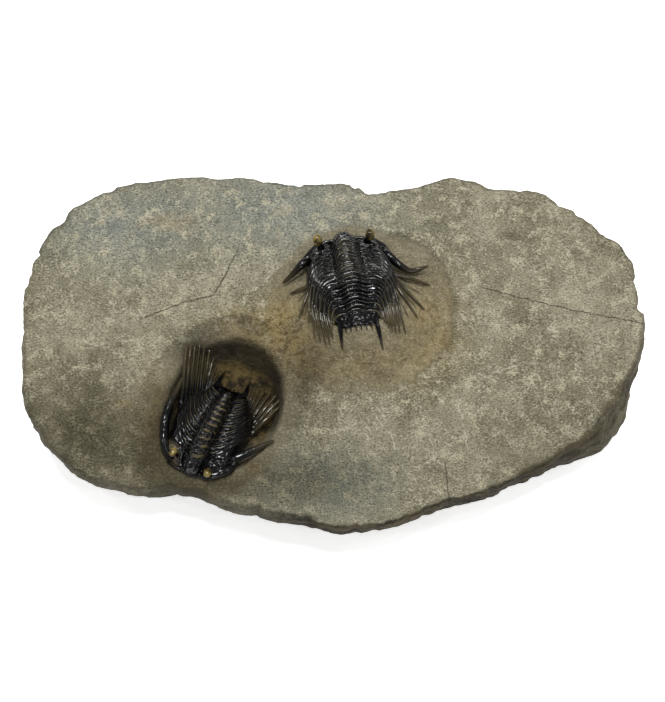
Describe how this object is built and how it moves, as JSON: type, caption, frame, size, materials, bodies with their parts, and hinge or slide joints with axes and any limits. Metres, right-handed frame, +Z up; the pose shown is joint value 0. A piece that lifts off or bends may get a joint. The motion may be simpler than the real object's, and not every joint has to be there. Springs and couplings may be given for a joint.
{
  "type": "fossil trilobite slab",
  "caption": "Grey-brown limestone slab with glossy black spiny trilobites standing out of it, one on a low mound and one in a hollow.",
  "frame": {"origin": "middle of the slab's bounding box at its flat underside", "axes": "+X along the slab to the right, +Y from the near long edge to the far one (the upper fossil's head points this way), +Z up out of the fossil face"},
  "size_m": [0.142, 0.0845, 0.0291],
  "materials": {
    "limestone": "matte",
    "shell": "gloss"
  },
  "bodies": {
    "root": {"limestone_slab": "limestone", "trilobite_on_mound": "shell", "trilobite_in_hollow": "shell"}
  },
  "joints": []
}
